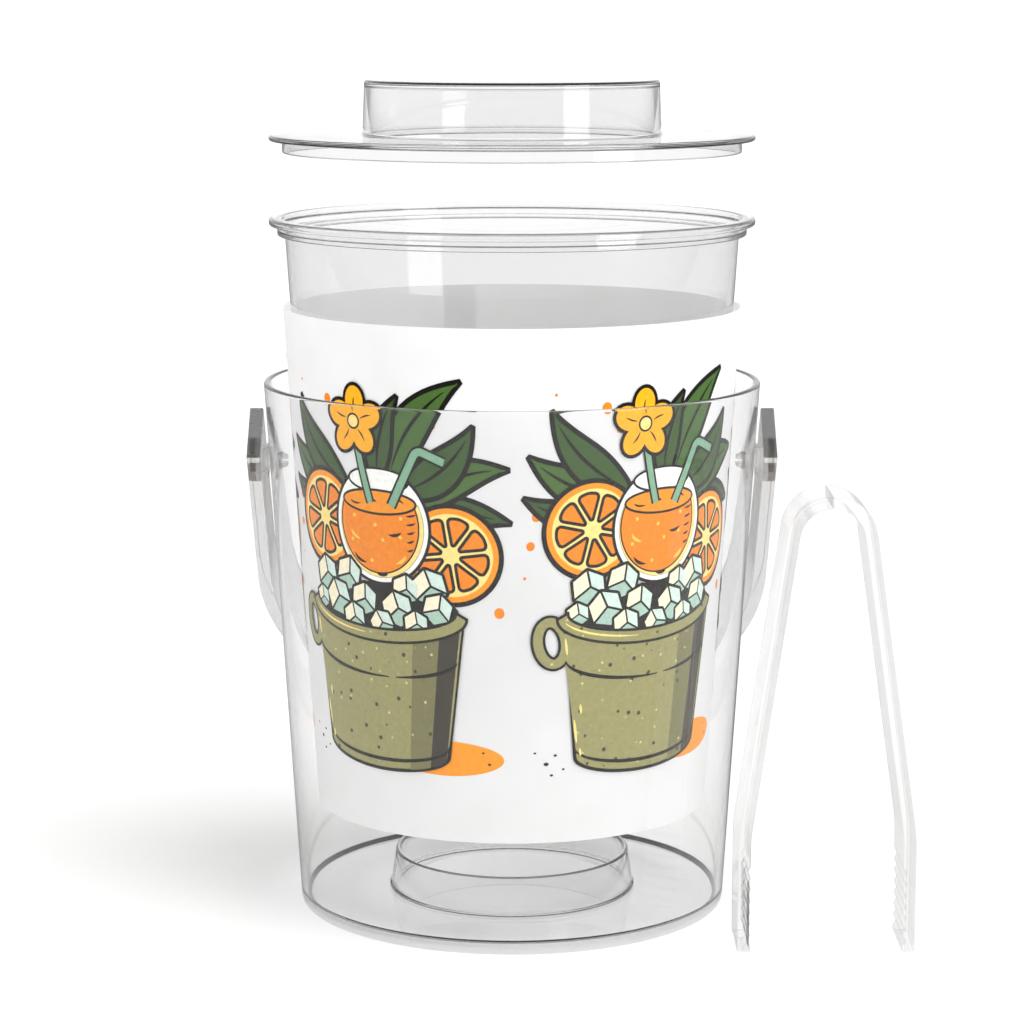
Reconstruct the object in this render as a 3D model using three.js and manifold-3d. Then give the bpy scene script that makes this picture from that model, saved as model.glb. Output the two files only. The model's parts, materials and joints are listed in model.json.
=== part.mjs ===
// Clear double-walled ice bucket with a printed sleeve, a lid, a bail handle and a pair of tongs.
// Millimetres, +Z up. The origin is on the ground at the centre of the base, and -Y is the front.
// The liner, the sleeve and the lid stand drawn up out of the shell, at their raised positions.
import * as THREE from 'three';
import { mergeVertices } from 'three/addons/utils/BufferGeometryUtils.js';
import Module from 'manifold-3d';

const wasm = await Module();
wasm.setup();

const FACETS = 72;          // facets round the large turned parts
const SMALL_FACETS = 28;    // facets round the pivot pins
const GAP = 0.3;            // clearance between pieces that touch

// Outer shell: a tapered cup with a flat floor.
const SHELL_H = 188.6;
const SHELL_TOP_R = 88;
const SHELL_FOOT_R = 76.5;
const SHELL_WALL = 2.2;
const SHELL_FLOOR = 3.5;
const SHELL_EDGE = 1.2;     // rounding of the foot

// Ring on the shell's floor that carries the liner.
const RING_H = 13.8;
const RING_TOP_R = 42.2;
const RING_FOOT_R = 44;
const RING_WALL = 2;

// Liner: the inner cup, with a stepped mouth that takes the lid's skirt.
const LINER_H = 170.7;
const LINER_FOOT_R = 69.3;
const LINER_NECK_R = 79.9;      // outer radius just under the neck
const LINER_WALL = 2;
const LINER_CORNER = 5;         // rounding of the liner's foot
const LINER_FLANGE_R = 85.5;
const LINER_FLANGE_T = 2.8;
const NECK_R = 82.6;
const NECK_DEPTH = 6.2;
const MOUTH_R = 81;
const MOUTH_DEPTH = 4.6;

// Printed paper sleeve between the two cups.
const SLEEVE_H = 177.2;
const SLEEVE_FOOT_R = 69.9;
const SLEEVE_TOP_R = 80.9;
const SLEEVE_T = 0.5;

// Lid: a thin flange, a skirt under it and a wide hollow knob that is open below.
const LID_R = 85.2;
const LID_T = 2;
const SKIRT_R = 80.6;
const SKIRT_T = 1.8;
const SKIRT_DEPTH = 4.2;
const KNOB_FOOT_R = 52.4;
const KNOB_TOP_R = 51.7;
const KNOB_H = 19;

// How far each piece stands above its seat.
const LINER_LIFT = 57.8;
const SLEEVE_LIFT = 34;
const LID_LIFT = 26.4;

// Bail handle: a flat strip bent to a U, hanging back until it rests on the shell.
const PIVOT_Z = 159.4;
const BAIL_R = 93.3;        // outer radius of the bend, and the arms' outer half-width
const BAIL_T = 4.8;
const BAIL_W = 23.8;
const BAIL_ARM = 51;        // straight stretch below the pivot
const BAIL_END = 14.6;      // strip past the pivot
const BAIL_HANG = THREE.MathUtils.degToRad(39.5);

// Pivot pins: a boss right through the bail, a collar, a shaft through the wall and a split snap tip.
const BOSS_R = 4.15;
const COLLAR_R = 6.1;
const COLLAR_T = 0.6;
const SHAFT_R = 2.7;
const PIN_HOLE_R = 3;
const BARB_R = 3.2;
const PIN_TIP_R = 2.1;
const PIN_TIP_X = 80.4;
const PIN_SLOT = 0.8;

// Tongs: a flat strip bent over at the top, standing on its two toothed tips.
const TONGS_X = 107.4;
const TONGS_Y = -60;
const TONGS_TOP = 158;
const TONGS_W = 26;
const TONGS_T = 4.4;
const BOW_R = 15.4;         // outer radius of the bend
const LEG_LEAN = THREE.MathUtils.degToRad(8.24);
const TIP_HALF = 30.4;      // half-width over the tips
const FLEX_GAP = 0.6;       // gap at each shoulder, where the strip bends
const TEETH = 7;
const TOOTH_PITCH = 4.03;
const TOOTH_DEPTH = 1.1;
const TOOTH_START = 1.8;
const KNEE = 7;             // reach of the knee's bend each way
const KNEE_SAG = 0.3;

const clearPlastic = (name, colour) => {
  const material = new THREE.MeshStandardMaterial({ color: colour, roughness: 0.05, metalness: 0 });
  material.name = name;
  material.transparent = true;
  material.opacity = 0.3;
  return material;
};

const paper = () => new THREE.MeshStandardMaterial({ color: 0xf7f6f2, roughness: 0.75, metalness: 0 });

function mesh(name, geometry, material) {
  const piece = new THREE.Mesh(geometry, material);
  piece.name = name;
  return piece;
}

// A closed geometry as a solid that can be joined and cut.
function toSolid(geometry) {
  const plain = geometry.clone();
  plain.deleteAttribute('normal');
  plain.deleteAttribute('uv');
  const merged = mergeVertices(plain, 1e-4);
  const vertProperties = new Float32Array(merged.attributes.position.array);
  const triVerts = new Uint32Array(merged.index.array);
  return new wasm.Manifold(new wasm.Mesh({ numProp: 3, vertProperties, triVerts }));
}

function toGeometry(solid) {
  const { vertProperties, triVerts } = solid.getMesh();
  const geometry = new THREE.BufferGeometry();
  geometry.setAttribute('position', new THREE.BufferAttribute(vertProperties, 3));
  geometry.setIndex(new THREE.BufferAttribute(triVerts, 1));
  geometry.computeVertexNormals();
  return geometry;
}

const cut = (geometry, ...tools) =>
  toGeometry(tools.reduce((solid, tool) => solid.subtract(toSolid(tool)), toSolid(geometry)));

// Points of a round corner in a profile, from one angle to another, in degrees.
function corner(r, z, radius, from, to, steps = 4) {
  const points = [];
  for (let i = 0; i <= steps; i++) {
    const angle = THREE.MathUtils.degToRad(from + (to - from) * i / steps);
    points.push([r + radius * Math.cos(angle), z + radius * Math.sin(angle)]);
  }
  return points;
}

// A profile of [radius, height] points, turned about Z.
function turned(profile, facets = FACETS) {
  const points = profile.map(([r, z]) => new THREE.Vector2(r, z));
  return new THREE.LatheGeometry(points, facets).rotateX(Math.PI / 2);
}

// A flat outline in X and Z, given depth along Y, centred on Y = 0.
const slab = (shape, depth, curveSegments = 12) =>
  new THREE.ExtrudeGeometry(shape, { depth, bevelEnabled: false, curveSegments })
    .translate(0, 0, -depth / 2)
    .rotateX(Math.PI / 2);

const crossCylinder = (radius, length) =>
  new THREE.CylinderGeometry(radius, radius, length, SMALL_FACETS).rotateZ(Math.PI / 2);

const shellRadius = z => SHELL_FOOT_R + (SHELL_TOP_R - SHELL_FOOT_R) * z / SHELL_H;

function outerShell() {
  const wallFoot = shellRadius(SHELL_FLOOR) - SHELL_WALL;
  const profile = [
    [0, 0],
    ...corner(SHELL_FOOT_R - SHELL_EDGE, SHELL_EDGE, SHELL_EDGE, -90, 0),
    [SHELL_TOP_R, SHELL_H - 0.6],
    [SHELL_TOP_R - 0.6, SHELL_H],
    [SHELL_TOP_R - SHELL_WALL + 0.4, SHELL_H],
    [SHELL_TOP_R - SHELL_WALL, SHELL_H - 0.4],
    [wallFoot, SHELL_FLOOR],
    [0, SHELL_FLOOR],
  ];
  const pinHoles = crossCylinder(PIN_HOLE_R, 2.5 * SHELL_TOP_R).translate(0, 0, PIVOT_Z);
  return mesh('outer_shell', cut(turned(profile), pinHoles), clearPlastic('clear_shell', 0xe9ecec));
}

function restRing() {
  const profile = [
    [RING_FOOT_R - RING_WALL, 0],
    [RING_FOOT_R + 0.5, 0],
    [RING_FOOT_R + 0.5, 0.8],
    [RING_FOOT_R - 0.2, 1.6],
    [RING_TOP_R, RING_H - 0.6],
    [RING_TOP_R - 0.6, RING_H],
    [RING_TOP_R - RING_WALL, RING_H],
    [RING_FOOT_R - RING_WALL, 0],
  ];
  const ring = mesh('liner_rest_ring', turned(profile), clearPlastic('clear_ring', 0xdfe3e3));
  ring.position.z = SHELL_FLOOR + GAP;
  return ring;
}

function liner() {
  const inner = LINER_NECK_R - LINER_WALL;
  const footInner = LINER_FOOT_R - LINER_WALL;
  const neckZ = LINER_H - NECK_DEPTH;
  const flangeZ = LINER_H - LINER_FLANGE_T;
  const mouthZ = LINER_H - MOUTH_DEPTH;
  const profile = [
    [0, 0],
    ...corner(LINER_FOOT_R - LINER_CORNER, LINER_CORNER, LINER_CORNER, -90, -3),
    [LINER_NECK_R, neckZ],
    [NECK_R - 0.5, neckZ],
    [NECK_R, neckZ + 0.5],
    [NECK_R, flangeZ],
    ...corner(LINER_FLANGE_R - 0.7, flangeZ + 0.7, 0.7, -90, 0, 2),
    ...corner(LINER_FLANGE_R - 0.7, LINER_H - 0.7, 0.7, 0, 90, 2),
    [MOUTH_R, LINER_H],
    [MOUTH_R, mouthZ],
    [inner, mouthZ],
    ...corner(footInner - LINER_CORNER + LINER_WALL, LINER_CORNER, LINER_CORNER - LINER_WALL, -3, -90),
    [0, LINER_WALL],
  ];
  return mesh('liner', turned(profile), clearPlastic('clear_liner', 0xe9ecec));
}

function sleeve() {
  const profile = [
    [SLEEVE_FOOT_R - SLEEVE_T, 0],
    [SLEEVE_FOOT_R, 0],
    [SLEEVE_TOP_R, SLEEVE_H],
    [SLEEVE_TOP_R - SLEEVE_T, SLEEVE_H],
    [SLEEVE_FOOT_R - SLEEVE_T, 0],
  ];
  return mesh('printed_sleeve', turned(profile), paper());
}

// The lid's own zero is the underside of its flange.
function lid() {
  const knobTop = LID_T + KNOB_H;
  const profile = [
    [0, knobTop - LID_T],
    [KNOB_TOP_R - LID_T, knobTop - LID_T],
    [KNOB_FOOT_R - LID_T, 0],
    [SKIRT_R - SKIRT_T, 0],
    [SKIRT_R - SKIRT_T, -SKIRT_DEPTH],
    [SKIRT_R - 0.4, -SKIRT_DEPTH],
    [SKIRT_R, 0.4 - SKIRT_DEPTH],
    [SKIRT_R, 0],
    ...corner(LID_R - 0.6, 0.6, 0.6, -90, 0, 2),
    ...corner(LID_R - 0.6, LID_T - 0.6, 0.6, 0, 90, 2),
    [KNOB_FOOT_R, LID_T],
    ...corner(KNOB_TOP_R - 0.8, knobTop - 0.8, 0.8, 0, 90, 3),
    [0, knobTop],
  ];
  return mesh('lid', turned(profile), clearPlastic('clear_lid', 0xe9ecec));
}

// The bail in its own plane: X across, Z along the arms, with the pivot at the origin.
function bailOutline() {
  const inner = BAIL_R - BAIL_T;
  const shape = new THREE.Shape();
  shape.moveTo(BAIL_R, -BAIL_END);
  shape.lineTo(BAIL_R, BAIL_ARM);
  shape.absarc(0, BAIL_ARM, BAIL_R, 0, Math.PI, false);
  shape.lineTo(-BAIL_R, -BAIL_END);
  shape.lineTo(-inner, -BAIL_END);
  shape.lineTo(-inner, BAIL_ARM);
  shape.absarc(0, BAIL_ARM, inner, Math.PI, 0, true);
  shape.lineTo(inner, -BAIL_END);
  shape.closePath();
  return shape;
}

function bail() {
  const strip = slab(bailOutline(), BAIL_W, 36).rotateX(Math.PI);
  const bores = crossCylinder(BOSS_R + GAP, 2.5 * BAIL_R);
  const piece = mesh('bail_handle', cut(strip, bores), clearPlastic('clear_bail', 0xd9dcdc));
  piece.rotation.x = BAIL_HANG;
  piece.position.z = PIVOT_Z;
  return piece;
}

// One pin, its axis along X through the wall on the given side, 1 for right and -1 for left.
function pivotPin(name, side) {
  const collarX = shellRadius(PIVOT_Z) + 0.6;
  const barbX = shellRadius(PIVOT_Z) - SHELL_WALL - 0.5;
  const profile = [
    [0, PIN_TIP_X],
    [PIN_TIP_R, PIN_TIP_X],
    [BARB_R, barbX - 0.4],
    [BARB_R, barbX],
    [SHAFT_R, barbX],
    [SHAFT_R, collarX],
    [COLLAR_R, collarX],
    [COLLAR_R, collarX + COLLAR_T],
    [BOSS_R, collarX + COLLAR_T],
    [BOSS_R, BAIL_R],
    [0, BAIL_R],
  ];
  const turnedPin = turned(profile, SMALL_FACETS).rotateX(-Math.PI / 2);
  const slotEnd = collarX - 0.8;
  const slot = new THREE.BoxGeometry(4 * BARB_R, slotEnd - PIN_TIP_X + 1, PIN_SLOT)
    .translate(0, (slotEnd + PIN_TIP_X - 1) / 2, 0);
  const geometry = cut(turnedPin, slot).rotateZ(-side * Math.PI / 2);
  const pin = mesh(name, geometry, clearPlastic('clear_pin', 0xc9cccc));
  pin.position.z = PIVOT_Z;
  return pin;
}

// The tongs in X and Z, with the centre of the bend at the origin.
function bowOutline() {
  const inner = BOW_R - TONGS_T;
  const shape = new THREE.Shape();
  shape.absarc(0, 0, BOW_R, LEG_LEAN, Math.PI - LEG_LEAN, false);
  shape.absarc(0, 0, inner, Math.PI - LEG_LEAN, LEG_LEAN, true);
  shape.closePath();
  return shape;
}

// The right-hand leg as points: down the slope to the knee, then straight down to the toothed tip.
function legOutline() {
  const floor = BOW_R - TONGS_TOP;
  const inner = BOW_R - TONGS_T;
  const tipInner = TIP_HALF - TONGS_T;
  const [cos, sin] = [Math.cos(LEG_LEAN), Math.sin(LEG_LEAN)];
  const along = (radius, drop) => [radius * cos + drop * sin, radius * sin - drop * cos];
  const dropTo = (radius, x) => (x - radius * cos) / sin;
  const [, outerKnee] = along(BOW_R, dropTo(BOW_R, TIP_HALF));
  const [, innerKnee] = along(inner, dropTo(inner, tipInner));
  const points = [
    along(inner, FLEX_GAP),
    along(BOW_R, FLEX_GAP),
    along(BOW_R, dropTo(BOW_R, TIP_HALF) - KNEE),
    [TIP_HALF - KNEE_SAG, outerKnee],
    [TIP_HALF, outerKnee - KNEE],
    [TIP_HALF, floor],
    [tipInner, floor],
  ];
  for (let tooth = 0; tooth < TEETH; tooth++) {
    const z = floor + TOOTH_START + tooth * TOOTH_PITCH;
    points.push([tipInner, z], [tipInner + TOOTH_DEPTH, z + TOOTH_PITCH / 2]);
  }
  points.push(
    [tipInner, floor + TOOTH_START + TEETH * TOOTH_PITCH],
    [tipInner, innerKnee - KNEE],
    [tipInner - KNEE_SAG, innerKnee],
    along(inner, dropTo(inner, tipInner) - KNEE),
  );
  return points;
}

function tongs() {
  const group = new THREE.Group();
  group.position.set(TONGS_X, TONGS_Y, TONGS_TOP - BOW_R);
  const plastic = () => clearPlastic('clear_tongs', 0xe4e6e6);
  const upright = geometry => geometry.rotateX(Math.PI);
  const flip = shape => new THREE.Shape(shape.getPoints(16).map(p => new THREE.Vector2(p.x, -p.y)));
  group.add(mesh('tongs_bow', upright(slab(flip(bowOutline()), TONGS_W)), plastic()));
  for (const [name, side] of [['tongs_arm_left', -1], ['tongs_arm_right', 1]]) {
    const outline = legOutline().map(([x, z]) => new THREE.Vector2(side * x, -z));
    group.add(mesh(name, upright(slab(new THREE.Shape(outline), TONGS_W)), plastic()));
  }
  return group;
}

const bucket = new THREE.Group();
bucket.add(outerShell(), restRing(), bail());
bucket.add(pivotPin('pivot_pin_left', -1), pivotPin('pivot_pin_right', 1));

const sleevePiece = sleeve();
sleevePiece.position.z = SHELL_FLOOR + GAP + SLEEVE_LIFT;
bucket.add(sleevePiece);

// The lid stands on the liner, so it is placed in the liner's group.
const linerGroup = new THREE.Group();
linerGroup.position.z = SHELL_FLOOR + RING_H + 2 * GAP + LINER_LIFT;
const lidPiece = lid();
lidPiece.position.z = LINER_H + GAP + LID_LIFT;
linerGroup.add(liner(), lidPiece);
bucket.add(linerGroup, tongs());

export default bucket;
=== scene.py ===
import json
import math

import bmesh
import bpy
from mathutils import Matrix, Vector


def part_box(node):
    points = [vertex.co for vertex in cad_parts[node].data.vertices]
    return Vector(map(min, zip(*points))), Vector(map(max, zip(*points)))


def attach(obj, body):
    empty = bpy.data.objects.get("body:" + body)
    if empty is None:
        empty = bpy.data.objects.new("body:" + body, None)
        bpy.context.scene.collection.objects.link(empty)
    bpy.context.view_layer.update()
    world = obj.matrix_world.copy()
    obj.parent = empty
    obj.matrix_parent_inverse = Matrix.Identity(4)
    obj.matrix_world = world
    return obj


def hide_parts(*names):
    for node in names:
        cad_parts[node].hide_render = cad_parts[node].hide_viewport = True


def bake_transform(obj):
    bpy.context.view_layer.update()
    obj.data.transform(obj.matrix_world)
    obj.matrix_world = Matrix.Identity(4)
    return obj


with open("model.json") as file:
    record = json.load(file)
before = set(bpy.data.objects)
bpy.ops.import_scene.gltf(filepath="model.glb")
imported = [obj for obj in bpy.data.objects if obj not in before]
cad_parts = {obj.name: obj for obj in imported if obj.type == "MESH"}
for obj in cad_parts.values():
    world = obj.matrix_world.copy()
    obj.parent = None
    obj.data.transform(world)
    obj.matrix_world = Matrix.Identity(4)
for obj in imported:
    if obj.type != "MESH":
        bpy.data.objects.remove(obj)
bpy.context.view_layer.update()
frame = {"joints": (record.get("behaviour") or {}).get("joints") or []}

MM = 0.001              # sizes are in millimetres where no comment says metres
ROUND = 160             # facets round the large turned pieces

CAMERA_PLACE = (0, -1.0741, 0.3218)
CAMERA_TILT = 9.58      # degrees below the horizon
CAMERA_LENS = 106.875   # millimetres, on a 36 mm sensor


# ---------------------------------------------------------------- camera

def make_camera():
    data = bpy.data.cameras.new("camera")
    data.sensor_width = 36
    data.lens = CAMERA_LENS
    camera = bpy.data.objects.new("camera", data)
    camera.location = CAMERA_PLACE
    camera.rotation_euler = (math.radians(90 - CAMERA_TILT), 0, 0)
    bpy.context.collection.objects.link(camera)
    bpy.context.scene.camera = camera


make_camera()


# ---------------------------------------------------------------- sizes

def joint_named(name):
    return next(joint for joint in frame["joints"] if joint["name"] == name)


def half_width(node):
    low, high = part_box(node)
    return (high[0] - low[0]) / 2 / MM


def low_z(node):
    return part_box(node)[0][2] / MM


def high_z(node):
    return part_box(node)[1][2] / MM


SHELL_H = high_z("outer_shell")
SHELL_TOP_R = half_width("outer_shell")
SHELL_FOOT_R = SHELL_TOP_R - 11.5
SHELL_WALL = 2.2
SHELL_FLOOR = 3.5
SHELL_FILLET = 1.5
PIN_HOLE_R = 3.0

RING_Z = low_z("liner_rest_ring")
RING_H = high_z("liner_rest_ring") - RING_Z
RING_FOOT_R = 44.5
RING_TOP_R = 42.2
RING_HOLE_FOOT_R = 42.0
RING_HOLE_TOP_R = 40.3

LINER_Z = low_z("liner")
LINER_H = high_z("liner") - LINER_Z
LINER_FLANGE_R = half_width("liner")
LINER_FOOT_R = 69.3
LINER_NECK_R = 79.9
LINER_WALL = 2.0
NECK_R = 82.6
NECK_DEPTH = 6.2
MOUTH_R = 81.0
MOUTH_DEPTH = 4.6
FLANGE_T = 2.8

SLEEVE_Z = low_z("printed_sleeve")
SLEEVE_H = high_z("printed_sleeve") - SLEEVE_Z
SLEEVE_TOP_R = half_width("printed_sleeve")
SLEEVE_FOOT_R = SLEEVE_TOP_R - 11
PAPER_T = 0.22
PAPER_GAP = 0.05        # between the two layers at the lap
SEAM_TURN = 100         # degrees round from +X
LAP_TURN = 9

SKIRT_DEPTH = 4.2
LID_Z = low_z("lid") + SKIRT_DEPTH      # underside of the flange
LID_R = half_width("lid")
LID_T = 2.0
KNOB_TOP = high_z("lid") - LID_Z
KNOB_FOOT_R = 52.4
KNOB_TOP_R = 51.7
SKIRT_R = 80.6
SKIRT_T = 1.8

PIVOT_Z = joint_named("bail_swing")["pos_m"][2] / MM
BAIL_R = half_width("bail_handle")
BAIL_T = 4.8
BAIL_W = 23.8
BAIL_ARM = 51.0
BAIL_END = 14.6
BAIL_HANG = math.radians(39.5)

BOSS_R = 4.15
COLLAR_R = 6.1
SHAFT_R = 2.7
BARB_R = 3.2
PIN_TIP_X = 80.4
SLOT_W = 1.3
BORE_GAP = 0.12

TONGS_X = (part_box("tongs_bow")[0][0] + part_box("tongs_bow")[1][0]) / 2 / MM
TONGS_Y = (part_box("tongs_bow")[0][1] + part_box("tongs_bow")[1][1]) / 2 / MM
TONGS_TOP = high_z("tongs_bow")
TONGS_W = 26.0
TONGS_T = 4.4
BOW_R = 15.4
LEG_LEAN = math.radians(8.24)
TIP_HALF = 30.4
TEETH = 7
TOOTH_PITCH = 4.03
TOOTH_DEPTH = 1.1
TOOTH_START = 1.8


# ---------------------------------------------------------------- shapes

def rounded(corners, closed=False, steps=5):
    """Corners (a, b, radius), with each corner turned into an arc of its radius."""
    out = []
    last = len(corners) - 1
    for i, (a, b, radius) in enumerate(corners):
        here = Vector((a, b))
        if radius <= 0 or (not closed and i in (0, last)):
            out.append(here)
            continue
        to_before = (Vector(corners[i - 1][:2]) - here).normalized()
        to_after = (Vector(corners[(i + 1) % len(corners)][:2]) - here).normalized()
        half = to_before.angle(to_after) / 2
        centre = here + (to_before + to_after).normalized() * (radius / math.sin(half))
        start = here + to_before * (radius / math.tan(half)) - centre
        end = here + to_after * (radius / math.tan(half)) - centre
        turn = math.atan2(start.x * end.y - start.y * end.x, start.dot(end))
        for k in range(steps + 1):
            angle = turn * k / steps
            cos, sin = math.cos(angle), math.sin(angle)
            out.append(centre + Vector((start.x * cos - start.y * sin, start.x * sin + start.y * cos)))
    return out


def new_object(name, bm, sharp=32):
    """A mesh object from millimetres, smooth but for edges sharper than the angle in degrees."""
    bmesh.ops.remove_doubles(bm, verts=bm.verts, dist=1e-5)
    bmesh.ops.recalc_face_normals(bm, faces=bm.faces)
    bmesh.ops.scale(bm, vec=(MM, MM, MM), verts=bm.verts)
    limit = math.radians(sharp)
    for face in bm.faces:
        face.smooth = True
    for edge in bm.edges:
        edge.smooth = len(edge.link_faces) != 2 or edge.calc_face_angle() < limit
    mesh = bpy.data.meshes.new(name)
    bm.to_mesh(mesh)
    bm.free()
    piece = bpy.data.objects.new(name, mesh)
    bpy.context.collection.objects.link(piece)
    return piece


def turned(profile, facets=ROUND):
    """A bmesh of a profile of (radius, height) points turned about Z. It ends on the axis or closes."""
    bm = bmesh.new()
    closed = profile[0][0] > 0
    rings = []
    for r, z in profile:
        if r == 0:
            rings.append([bm.verts.new((0, 0, z))])
            continue
        angles = [2 * math.pi * i / facets for i in range(facets)]
        rings.append([bm.verts.new((r * math.cos(a), r * math.sin(a), z)) for a in angles])
    pairs = list(zip(rings, rings[1:]))
    if closed:
        pairs.append((rings[-1], rings[0]))
    for low, high in pairs:
        for i in range(facets):
            j = (i + 1) % facets
            around = [low[i % len(low)], low[j % len(low)], high[j % len(high)], high[i % len(high)]]
            corners = list(dict.fromkeys(around))
            if len(corners) > 2:
                bm.faces.new(corners)
    return bm


def raised(profile, z):
    return [(r, height + z) for r, height in profile]


def apply_modifiers(piece):
    depsgraph = bpy.context.evaluated_depsgraph_get()
    mesh = bpy.data.meshes.new_from_object(piece.evaluated_get(depsgraph))
    old = piece.data
    piece.modifiers.clear()
    piece.data = mesh
    mesh.name = piece.name
    bpy.data.meshes.remove(old)


def weigh_normals(piece):
    """Large flat faces keep their own normals beside narrow rounded edges."""
    modifier = piece.modifiers.new("weighted_normals", "WEIGHTED_NORMAL")
    modifier.keep_sharp = True
    apply_modifiers(piece)


def edge_lines(piece, corners, reach, material):
    """Gives a material to the rounded edges within reach of corners, which are radius and height pairs. The
    dark edge plastics paint lines of shade along these edges.
    """
    piece.data.materials.append(material)
    for face in piece.data.polygons:
        r, z = math.hypot(face.center.x, face.center.y) / MM, face.center.z / MM
        if any(math.hypot(r - edge_r, z - edge_z) < reach for edge_r, edge_z in corners):
            face.material_index = 1


def cut(piece, tool):
    modifier = piece.modifiers.new("cut", "BOOLEAN")
    modifier.operation = "DIFFERENCE"
    modifier.solver = "EXACT"
    modifier.object = tool
    apply_modifiers(piece)
    bpy.data.objects.remove(tool)


def side_rod(name, radius, x_from, x_to, z):
    bm = bmesh.new()
    turn = Matrix.Translation(((x_from + x_to) / 2, 0, z)) @ Matrix.Rotation(math.pi / 2, 4, "Y")
    bmesh.ops.create_cone(bm, cap_ends=True, segments=48, radius1=radius, radius2=radius,
                          depth=abs(x_to - x_from), matrix=turn)
    return new_object(name, bm)


# ---------------------------------------------------------------- materials

class Nodes:
    """Shorthand for one material's nodes."""

    def __init__(self, name):
        self.material = bpy.data.materials.new(name)
        self.material.use_nodes = True
        self.tree = self.material.node_tree
        self.tree.nodes.clear()
        self.output = self.add("ShaderNodeOutputMaterial")

    def add(self, kind, **values):
        node = self.tree.nodes.new(kind)
        for key, value in values.items():
            setattr(node, key, value)
        return node

    def link(self, source, target):
        self.tree.links.new(source, target)

    def noise(self, scale, detail=3.0, roughness=0.5, stretch=(1, 1, 1)):
        coordinates = self.add("ShaderNodeTexCoord")
        mapping = self.add("ShaderNodeMapping")
        mapping.inputs["Scale"].default_value = stretch
        texture = self.add("ShaderNodeTexNoise")
        texture.inputs["Scale"].default_value = scale
        texture.inputs["Detail"].default_value = detail
        texture.inputs["Roughness"].default_value = roughness
        self.link(coordinates.outputs["Object"], mapping.inputs["Vector"])
        self.link(mapping.outputs["Vector"], texture.inputs["Vector"])
        return texture.outputs["Fac"]

    def spread(self, source, low, high, to_low, to_high):
        node = self.add("ShaderNodeMapRange")
        sockets = ("From Min", "From Max", "To Min", "To Max")
        for socket, value in zip(sockets, (low, high, to_low, to_high)):
            node.inputs[socket].default_value = value
        self.link(source, node.inputs["Value"])
        return node.outputs["Result"]

    def bump(self, height, strength, distance):
        node = self.add("ShaderNodeBump")
        node.inputs["Strength"].default_value = strength
        node.inputs["Distance"].default_value = distance
        self.link(height, node.inputs["Height"])
        return node.outputs["Normal"]


ACRYLIC_IOR = 1.49
FOOT_SHARE = 0.85       # of the light at the shell's foot passes straight through
PAPER_GLOW = 0.4        # share of the light on the paper that comes through it
FOOT_BAND = 0.0026      # metres of the shell's foot that show the table


def clear_acrylic(name, tint, rough=(0.0, 0.02), foot=0.0, plain=0.0, straight=0.93, cloud=0.0):
    """Polished clear acrylic: faint haze where it has been handled, and the slight waviness of a moulding.

    Below the height foot, in metres, it rests on the table and shows it straight through. plain is the
    share of light that passes without bending, as in a thin wall, straight the part of it that each face
    lets through, and cloud the share that scatters.
    """
    n = Nodes(name)
    glass = n.add("ShaderNodeBsdfPrincipled")
    glass.inputs["Base Color"].default_value = (tint, tint, tint, 1)
    glass.inputs["Transmission Weight"].default_value = 1
    glass.inputs["IOR"].default_value = ACRYLIC_IOR
    haze = n.noise(38, 5, 0.6)
    n.link(n.spread(haze, 0.5, 0.75, *rough), glass.inputs["Roughness"])
    waves = n.noise(14, 1, 0.4)
    n.link(n.bump(waves, 0.02, 0.001), glass.inputs["Normal"])
    surface = glass.outputs[0]
    window = n.add("ShaderNodeBsdfTransparent")
    window.inputs["Color"].default_value = (straight, straight, straight, 1)
    milk = n.add("ShaderNodeBsdfDiffuse")
    milk.inputs["Color"].default_value = (0.5, 0.5, 0.5, 1)
    for share, other in ((plain, window), (cloud, milk)):
        blend = n.add("ShaderNodeMixShader")
        blend.inputs[0].default_value = share
        n.link(surface, blend.inputs[1])
        n.link(other.outputs[0], blend.inputs[2])
        surface = blend.outputs[0]
    if foot:
        coordinates = n.add("ShaderNodeTexCoord")
        split = n.add("ShaderNodeSeparateXYZ")
        n.link(coordinates.outputs["Object"], split.inputs[0])
        foot_mix = n.add("ShaderNodeMixShader")
        n.link(n.spread(split.outputs["Z"], foot * 0.8, foot, FOOT_SHARE, 0.0), foot_mix.inputs[0])
        n.link(surface, foot_mix.inputs[1])
        n.link(window.outputs[0], foot_mix.inputs[2])
        surface = foot_mix.outputs[0]
    through = n.add("ShaderNodeBsdfTransparent")
    through.inputs["Color"].default_value = (0.98, 0.98, 0.98, 1)
    path = n.add("ShaderNodeLightPath")
    either = n.add("ShaderNodeMath", operation="MAXIMUM")
    n.link(path.outputs["Is Shadow Ray"], either.inputs[0])
    n.link(path.outputs["Is Diffuse Ray"], either.inputs[1])
    mix = n.add("ShaderNodeMixShader")
    n.link(either.outputs[0], mix.inputs[0])
    n.link(surface, mix.inputs[1])
    n.link(through.outputs[0], mix.inputs[2])
    n.link(mix.outputs[0], n.output.inputs["Surface"])
    return n.material


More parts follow.
